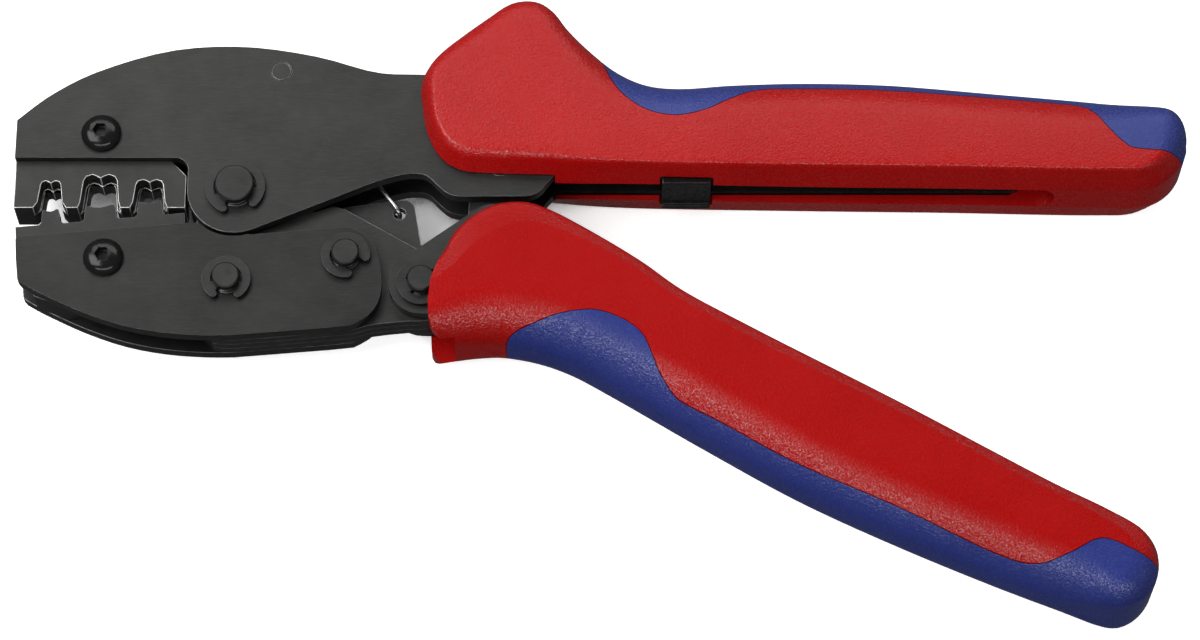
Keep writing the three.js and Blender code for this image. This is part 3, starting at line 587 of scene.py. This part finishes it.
def moulded(controls, wall, crown):
    """A closed moulded body: rounded rim, and a slightly crowned face on each side."""
    layers = rim_layers(controls, wall, crown)
    edge = layers[-1][:, :2]
    inner, triangles = cap(edge)
    rise = crown * (1 - np.exp(-distance(inner, edge) / CROWN_RUN))
    face = np.column_stack([inner, GRIP_HALF - crown + rise])
    other_side = (1, 1, -1)
    rings = layers[::-1] + [layer * other_side for layer in layers]
    n = RIM_POINTS
    faces = [(k * n + i, (k + 1) * n + i, (k + 1) * n + (i + 1) % n, k * n + (i + 1) % n)
             for k in range(len(rings) - 1) for i in range(n)]
    last_ring = (len(rings) - 1) * n
    front_start = len(rings) * n
    back_start = front_start + len(face)
    for a, b, c in triangles:
        faces.append(tuple(v if v < n else front_start + v - n for v in (a, b, c)))
        faces.append(tuple(last_ring + v if v < n else back_start + v - n for v in (a, c, b)))
    points = np.concatenate([*rings, face, face * other_side])
    low, high = (np.array(corner) for corner in CAD_BOX)
    kept = np.clip([place(*p) for p in points], low + BOX_MARGIN, high - BOX_MARGIN)
    return [Vector(p) for p in kept], faces


UPPER_CUTS = [
    prism([(30, -5), (60.3, -5), (60.3, 2.85), (147, 2.85), (150.35, 6.2), (150.35, 12.5),
           (147, 15.85), (72, 15.85), (66.1, 17.15), (60.15, 20.85), (50.1, 23.55),
           (35.3, 24.36), (30, 24.8)], -HOLLOW, HOLLOW),
    sideways_slot(45, 155, SLOT_HALF, -4, 6, 3.2),
    sideways_slot(80.1, 90.2, 6.2, -4, 5, 0.5),
]
LOWER_CUTS = [
    prism([(20, -12), (20, -36), (41, -36), (40.5, -31.4), (38.9, -30.75), (37.7, -29.7),
           (37.05, -28.2), (36.9, -25), (37.4, -20.3), (39.1, -15), (40.2, -12.6), (40.2, -12)],
          -PAST_GRIP, PAST_GRIP),
    prism([(30, -35), (41.7, -35), (41.7, -26.2), (52.1, -26.4), along_handle(66, 5.15),
           along_handle(155, 5.15), along_handle(158.35, 8.5), along_handle(158.35, 14),
           along_handle(155, 17.35), along_handle(64.2, 17.35), (64.6, -12.8), (67.5, -4),
           (62, 2), (30, 2)], -HOLLOW, HOLLOW),
    prism([(44, -14), along_handle(66, 12), along_handle(162, 12), along_handle(162, 24), (66, 2),
           (44, 2)], -SLOT_HALF, SLOT_HALF),
    prism([(LEVER_PIVOT[0] + 5.3 * math.cos(a), LEVER_PIVOT[1] + 5.3 * math.sin(a))
           for a in np.linspace(0, 2 * math.pi, 48, endpoint=False)], -8.8, 8.8),
]


def grip(side, controls, wall, seam, cuts, body, red, blue):
    """A hollowed grip, parted along its seam into a red shell and a blue insert."""
    vertices, faces = moulded(controls, wall, GRIP_CROWN)
    shell = piece(f"{side}_handle_red", vertices, faces, [red])
    for cut in cuts:
        boolean(shell, "DIFFERENCE", cut)
    insert = piece(f"{side}_handle_blue", [v.co for v in shell.data.vertices],
                   [tuple(p.vertices) for p in shell.data.polygons], [blue])
    boolean(insert, "INTERSECT", prism(seam, -PAST_GRIP, PAST_GRIP))
    boolean(shell, "DIFFERENCE", prism(grown(seam, SEAM_GAP), -PAST_GRIP, PAST_GRIP))
    for part, finish in ((shell, red), (insert, blue)):
        part.data.materials.clear()
        part.data.materials.append(finish)
        shade(part)
    settle(shell, body, [f"{side}_grip_shell"])
    settle(insert, body, [f"{side}_grip_insert"])


grip("upper", UPPER_GRIP, UPPER_WALL, UPPER_SEAM, UPPER_CUTS, "frame", RED, BLUE)
grip("lower", LOWER_GRIP, LOWER_WALL, LOWER_SEAM, LOWER_CUTS, "lever", SHADED_LOWER_RED, SHADED_LOWER_BLUE)


# ---------------------------------------------------------------- springs
RETURN_WIRE = 0.43
PAWL_WIRE = 0.3
COIL_STEPS = 22
PAWL_PIVOT = along_handle(63.1, 12.5)
PAWL_POST = along_handle(88, 11.2)


def tube(name, path, radius, finish, sides=12):
    """A round wire along a line of points."""
    p = np.array(path, float)
    along = np.gradient(p, axis=0)
    along /= np.linalg.norm(along, axis=1)[:, None]
    normal = np.cross(along[0], (0.3, 0.2, 0.9))
    vertices, faces = [], []
    for point, t in zip(p, along):
        normal = normal - t * (normal @ t)
        normal /= np.linalg.norm(normal)
        across = np.cross(t, normal)
        for k in range(sides):
            a = 2 * math.pi * k / sides
            vertices.append(place(*(point + radius * (normal * math.cos(a) + across * math.sin(a)))))
    n = len(p)
    for i in range(n - 1):
        for k in range(sides):
            j = (k + 1) % sides
            faces.append((i * sides + k, i * sides + j, (i + 1) * sides + j, (i + 1) * sides + k))
    faces.append(tuple(range(sides - 1, -1, -1)))
    faces.append(tuple(range((n - 1) * sides, n * sides)))
    made = piece(name, vertices, faces, [finish])
    shade(made, False)
    return made


def coil(start, end, radius, turns):
    """A helix between two points of the mid plane."""
    a, b = np.array([*start, 0.0]), np.array([*end, 0.0])
    along = (b - a) / np.linalg.norm(b - a)
    side = np.array([-along[1], along[0], 0])
    up = np.array([0, 0, 1.0])
    points = []
    for k in range(turns * COIL_STEPS + 1):
        angle = 2 * math.pi * k / COIL_STEPS
        points.append(a + (b - a) * k / (turns * COIL_STEPS)
                      + radius * (side * math.cos(angle) + up * math.sin(angle)))
    return points


def between(a, b, share):
    return (a[0] + (b[0] - a[0]) * share, a[1] + (b[1] - a[1]) * share)


def return_spring():
    """A coil between the frame's post and the hole in the jaw's tab, with a hook at each end."""
    post = np.array([*SPRING_POST, 0.0])
    hole = np.array([*SPRING_HOLE, 0.0])
    direction = (hole - post) / np.linalg.norm(hole - post)
    side = np.array([-direction[1], direction[0], 0])
    body = coil(between(SPRING_POST, SPRING_HOLE, 0.17), between(SPRING_POST, SPRING_HOLE, 0.7),
                2.0, 18)
    loop = [post + 2.35 * (direction * math.cos(a) + side * math.sin(a))
            for a in np.linspace(math.radians(-200), math.radians(48), 26)]
    lead = [post + direction * 3.4 + side * 2.1, post + direction * 4.6 + side * 2.05]
    drawn_in = [body[-1] + direction * 1.1 - side * 0.5, body[-1] + direction * 2.6 - side * 1.3]
    hook = [(27.3, 1.95, 1.0), (28.9, -0.35, 1.45), (30.05, -1.95, 1.5), (30.7, -2.9, 1.1),
            (30.9, -3.25, 0), (30.65, -3.25, -1.1), (29.8, -2.6, -1.6)]
    made = tube("return_coil_spring", open_line([*loop, *lead, *body, *drawn_in, *hook]),
                RETURN_WIRE, WIRE)
    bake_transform(made)
    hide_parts("return_spring")


def open_line(points):
    """An open smooth line through points, three steps for each of them."""
    p = np.array(points)
    padded = np.concatenate([p[:1], p, p[-1:]])
    out = []
    for i in range(len(p) - 1):
        a, b, c, d = padded[i:i + 4]
        for u in (0, 1 / 3, 2 / 3):
            out.append(0.5 * (2 * b + (c - a) * u + (2 * a - 5 * b + 4 * c - d) * u * u
                              + (3 * b - a - 3 * c + d) * u ** 3))
    out.append(p[-1])
    return np.array(out)


def pawl_spring():
    """A short coil between the pawl and its post on the lever."""
    middle = coil(between(PAWL_PIVOT, PAWL_POST, 0.27), between(PAWL_PIVOT, PAWL_POST, 0.79),
                  1.25, 12)
    made = tube("pawl_coil_spring", middle, PAWL_WIRE, WIRE, sides=8)
    settle(made, "lever", ["pawl_spring"])


return_spring()
pawl_spring()


# ---------------------------------------------------------------- floor, light and camera
def floor():
    """A pale floor with a glow of its own; the glow fades where the tool covers it closely, a
    painted contact shadow.
    """
    s = Shader("studio_floor", Roughness=0.9, Emission_Color=(1, 1, 1, 1), Emission_Strength=0.7)
    tone = s.noise(0.002, 2)
    s.link(s.mix(tone, (0.90, 0.90, 0.90), (0.92, 0.92, 0.92)), s.surface.inputs["Base Color"])
    # Painted contact shadow: the floor's glow is cut where the tool covers it closely.
    painted_shadow_occlusion = s.tree.nodes.new("ShaderNodeAmbientOcclusion")
    painted_shadow_occlusion.inputs["Distance"].default_value = 0.022
    glow = s.levels(painted_shadow_occlusion.outputs["AO"], 0.12, 0.22, 0, 0.7)
    s.link(glow, s.surface.inputs["Emission Strength"])
    size = 6
    z = CAD_BOX[0].z - 0.0003
    made = piece("studio_floor", [(-size, -size, z), (size, -size, z), (size, size, z),
                                  (-size, size, z)], [(0, 1, 2, 3)], [s.material])
    made.visible_diffuse = False
    made.visible_glossy = False


def softbox(name, location, target, size, power):
    light = bpy.data.lights.new(name, "AREA")
    light.shape = "RECTANGLE"
    light.size, light.size_y = size
    light.energy = power
    made = bpy.data.objects.new(name, light)
    made.location = location
    made.rotation_euler = (Vector(target) - Vector(location)).to_track_quat("-Z", "Y").to_euler()
    bpy.context.scene.collection.objects.link(made)


def studio():
    """A dim room that is lighter overhead, a big light behind the tool and a strip before it."""
    world = bpy.data.worlds.new("studio")
    world.use_nodes = True
    tree = world.node_tree
    sky = tree.nodes["Background"]
    way = tree.nodes.new("ShaderNodeTexCoord")
    split = tree.nodes.new("ShaderNodeSeparateXYZ")
    ramp = tree.nodes.new("ShaderNodeMapRange")
    ramp.inputs["From Min"].default_value = -0.4
    ramp.inputs["From Max"].default_value = 0.7
    ramp.inputs["To Min"].default_value = 0.12
    ramp.inputs["To Max"].default_value = 0.2
    tree.links.new(way.outputs["Generated"], split.inputs[0])
    tree.links.new(split.outputs["Z"], ramp.inputs["Value"])
    tree.links.new(ramp.outputs["Result"], sky.inputs["Strength"])
    sky.inputs["Color"].default_value = (1, 1, 1, 1)
    bpy.context.scene.world = world
    softbox("key", (-0.5, 0.02, 0.7), (0.02, 0, 0.01), (0.6, 0.6), 5.2)
    softbox("back", (0, 0.58, 0.66), (0, 0, 0.01), (1.3, 0.4), 4.2)
    softbox("strip", (0.02, -0.75, 0.62), (0.02, 0, 0.01), (1.4, 0.14), 3.8)
    bpy.context.scene.view_settings.view_transform = "Standard"


def camera():
    lens = bpy.data.cameras.new("photo_view")
    lens.lens = 120
    lens.sensor_width = 36
    made = bpy.data.objects.new("photo_view", lens)
    made.location = place(68.79, -317.66, 690.38)
    made.rotation_euler = (math.radians(23), 0, 0)
    bpy.context.scene.collection.objects.link(made)
    bpy.context.scene.camera = made


floor()
studio()
camera()
